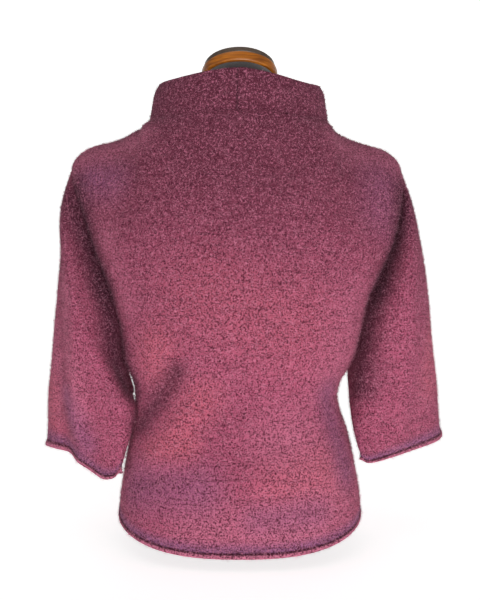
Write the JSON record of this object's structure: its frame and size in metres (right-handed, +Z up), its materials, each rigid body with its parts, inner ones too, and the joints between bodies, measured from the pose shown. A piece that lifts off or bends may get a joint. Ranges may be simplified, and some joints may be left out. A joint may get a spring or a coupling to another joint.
{
  "type": "cashmere sweater on a dress form",
  "caption": "Worn funnel-neck pullover of brushed knit with wide three-quarter sleeves and rolled edges, on a limbless dress form with a flat base.",
  "frame": {"origin": "middle of the dress form's flat base, on the surface that it stands on", "axes": "+Z up, -Y the back of the garment, +Y its front, -X the wearer's left, +X the wearer's right"},
  "size_m": [0.5778, 0.2524, 0.6688],
  "materials": {
    "knit": "brushed felted knit, mauve to plum, light fibres standing off it",
    "form_cover": "black textured jersey, matt",
    "cap_wood": "varnished golden brown",
    "cap_disc": "dark grey brown, satin"
  },
  "bodies": {
    "root": {"back_panel": "knit", "front_panel": "knit", "left_sleeve": "knit", "right_sleeve": "knit", "collar": "knit", "form_torso": "form_cover", "form_cap_band": "cap_wood", "form_cap_top": "cap_disc"}
  },
  "joints": []
}
